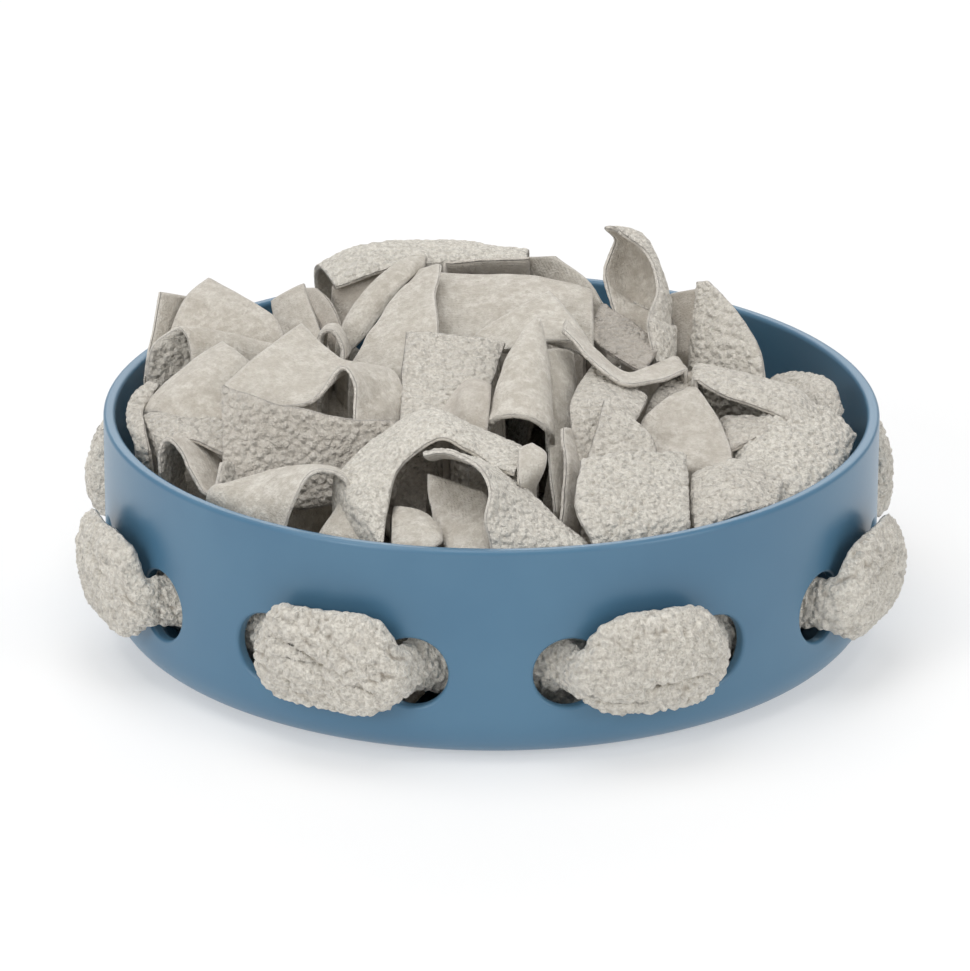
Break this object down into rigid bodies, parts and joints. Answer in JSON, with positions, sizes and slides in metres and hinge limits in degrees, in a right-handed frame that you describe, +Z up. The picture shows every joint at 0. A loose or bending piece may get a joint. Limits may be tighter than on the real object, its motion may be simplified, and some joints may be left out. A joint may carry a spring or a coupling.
{
  "type": "snuffle bowl",
  "caption": "Round plastic pet bowl with a nest of fleece strips to hide treats in and fleece loops woven through holes in its wall.",
  "frame": {"origin": "middle of the bowl's base, on the surface it stands on", "axes": "+Z up, -Y towards the front as pictured, +X to the right"},
  "size_m": [0.2974, 0.2974, 0.1257],
  "materials": {
    "bowl_plastic": "satin moulded plastic, slate blue",
    "fleece": "curly pile on one side, smooth nap on the other, oatmeal"
  },
  "bodies": {
    "root": {"bowl": "bowl_plastic", "loop_1": "fleece", "loop_2": "fleece", "loop_3": "fleece", "loop_4": "fleece", "loop_5": "fleece", "loop_6": "fleece", "loop_7": "fleece", "loop_8": "fleece", "trough_front": "fleece", "arch_front": "fleece", "square_front": "fleece", "low_right": "fleece", "big_right": "fleece", "saddle": "fleece", "arch_front_left": "fleece", "flap_front_low": "fleece", "saddle_under": "fleece", "curl_small": "fleece", "flap_front_left": "fleece", "fold_rim_left": "fleece", "tip_flap": "fleece", "triangle": "fleece", "bent": "fleece", "pleat_b": "fleece", "cone": "fleece", "pleat_a": "fleece", "peak_flap": "fleece", "fold_left_low": "fleece", "left_outer": "fleece", "shade_strip": "fleece", "grey_fold": "fleece", "square": "fleece", "mouth_piece": "fleece", "behind_tip": "fleece", "wavy": "fleece", "long_right": "fleece", "flap_left_mid": "fleece", "small_arch": "fleece", "roll_left": "fleece", "flap_left_peak": "fleece", "leaf_far_left": "fleece", "back_left_strip": "fleece", "back_left_shade": "fleece", "long_tube": "fleece", "wide_flap": "fleece", "diagonal": "fleece", "centre_face": "fleece", "mauve_end": "fleece", "fin": "fleece", "right_peak": "fleece", "right_peak_back": "fleece", "round_back_right": "fleece", "back_shade_left": "fleece", "back_shade_right": "fleece", "back_roll": "fleece", "back_peak": "fleece", "low_back_right": "fleece", "low_back_left": "fleece"}
  },
  "joints": []
}
